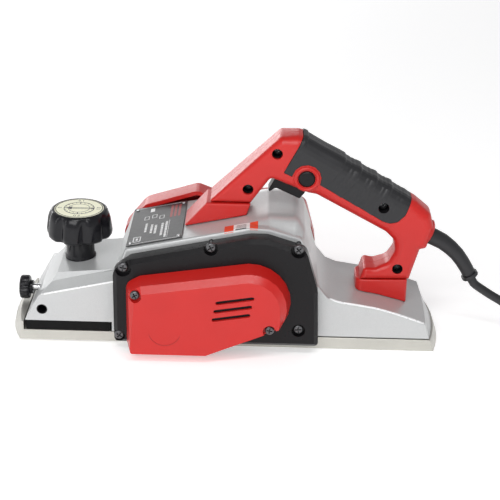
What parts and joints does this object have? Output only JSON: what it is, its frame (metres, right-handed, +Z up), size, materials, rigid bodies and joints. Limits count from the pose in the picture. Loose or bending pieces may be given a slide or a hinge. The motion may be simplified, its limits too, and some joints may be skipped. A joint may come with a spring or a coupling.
{
  "type": "electric hand planer",
  "caption": "Hand-held electric planer with cast body, rear D handle, front depth knob, belt-driven cutter block, side covers, guide hole and a coiled mains cord.",
  "frame": {"origin": "on the underside of the rear shoe, on the centre plane, 25.5 mm behind the cutter mouth's rear edge", "axes": "-X forwards in the planing direction, +X to the rear, -Y to the belt-cover side, +Z up, with the rear shoe's underside at z = 0"},
  "size_m": [0.5898, 0.1867, 0.1765],
  "materials": {
    "cast_silver": "die cast, satin silver paint",
    "sole_metal": "machined",
    "steel": "machined",
    "bearing_steel": "polished",
    "copper": "drawn copper",
    "lamination": "dull steel sheet",
    "red_plastic": "satin moulded",
    "black_plastic": "fine texture",
    "grip_rubber": "soft, ribbed",
    "foam": "closed-cell foam",
    "dial_paper": "printed card",
    "plate_grey": "printed film on plate",
    "belt_rubber": "ribbed",
    "cord_rubber": "smooth sheath",
    "carbon": "carbon block",
    "brass": "stamped",
    "film_yellow": "dipped",
    "fan_plastic": "moulded",
    "screw_black": "black oxide"
  },
  "bodies": {
    "planer": {"body_casting": "cast_silver", "rear_shoe": "sole_metal", "shoe_gasket": "foam", "drive_cover": "black_plastic", "belt_cover": "red_plastic", "right_cover": "red_plastic", "handle_left": "red_plastic", "handle_right": "red_plastic", "grip_pad_left": "grip_rubber", "grip_pad_right": "grip_rubber", "handle_front_foot": "red_plastic", "handle_rear_foot": "red_plastic", "switch_module": "black_plastic", "capacitor": "film_yellow", "cord_clamp": "black_plastic", "strain_relief": "cord_rubber", "cord": "cord_rubber", "cord_coil": "cord_rubber", "plug": "cord_rubber", "depth_spring": "steel", "drum_bearing_left": "bearing_steel", "drum_bearing_right": "bearing_steel", "drive_belt": "belt_rubber", "motor_bearing_left": "bearing_steel", "motor_bearing_right": "bearing_steel", "stator": "lamination", "brush_holder_front": "brass", "brush_front": "carbon", "brush_holder_rear": "brass", "brush_rear": "carbon", "label_plate": "plate_grey", "cover_screw_1": "screw_black", "cover_screw_2": "screw_black", "cover_screw_3": "screw_black", "cover_screw_4": "screw_black", "cover_screw_5": "screw_black", "belt_cover_screw_1": "screw_black", "belt_cover_screw_2": "screw_black", "handle_screw_1": "screw_black", "handle_screw_2": "screw_black", "handle_screw_3": "screw_black", "handle_screw_4": "screw_black"},
    "depth_control": {"depth_knob": "black_plastic", "dial_label": "dial_paper", "depth_spindle": "steel"},
    "shoe": {"front_shoe": "sole_metal"},
    "cutter_block": {"cutter_drum": "steel", "knife_a": "steel", "knife_b": "steel", "clamp_bar_a": "steel", "clamp_bar_b": "steel", "drum_pulley": "lamination"},
    "rotor": {"armature": "lamination", "commutator": "copper", "motor_fan": "fan_plastic", "motor_pulley": "lamination"},
    "trigger_lever": {"trigger": "black_plastic"},
    "lock": {"lock_button": "black_plastic"},
    "fence_clamp": {"clamp_knob": "black_plastic", "clamp_screw": "steel"}
  },
  "joints": [
    {"name": "depth_knob_turn", "type": "hinge", "parent": "planer", "child": "depth_control", "pos_m": [-0.127, 0, 0.09], "axis": [0, 0, 1], "range_deg": [-360, 0]},
    {"name": "front_shoe_slide", "type": "slide", "parent": "planer", "child": "shoe", "axis": [0, 0, 1], "range_m": [-0.002, 0], "deforming": ["depth_spring"]},
    {"name": "drum_spin", "type": "hinge", "parent": "planer", "child": "cutter_block", "pos_m": [-0.051, 0, 0.026], "axis": [0, 1, 0], "continuous": true},
    {"name": "motor_spin", "type": "hinge", "parent": "planer", "child": "rotor", "pos_m": [0.016, 0, 0.05], "axis": [0, 1, 0], "continuous": true},
    {"name": "trigger_press", "type": "hinge", "parent": "planer", "child": "trigger_lever", "pos_m": [0.06, 0, 0.128], "axis": [0, 1, 0], "range_deg": [0, 8], "stiffness_Nm_per_rad": 0.6, "springref_deg": -5.73},
    {"name": "lock_button_press", "type": "slide", "parent": "planer", "child": "lock", "axis": [0, 1, 0], "range_m": [0, 0.003], "stiffness_N_per_m": 400, "springref_m": -0.001},
    {"name": "clamp_turn", "type": "hinge", "parent": "planer", "child": "fence_clamp", "pos_m": [-0.16, 0, 0.0298], "axis": [1, 0, 0], "range_deg": [-360, 0]}
  ],
  "couplings": [
    {"joint": "front_shoe_slide", "follows": "depth_knob_turn", "m_per_rad": 0.000318},
    {"joint": "motor_spin", "follows": "drum_spin", "ratio": 0.86667}
  ]
}
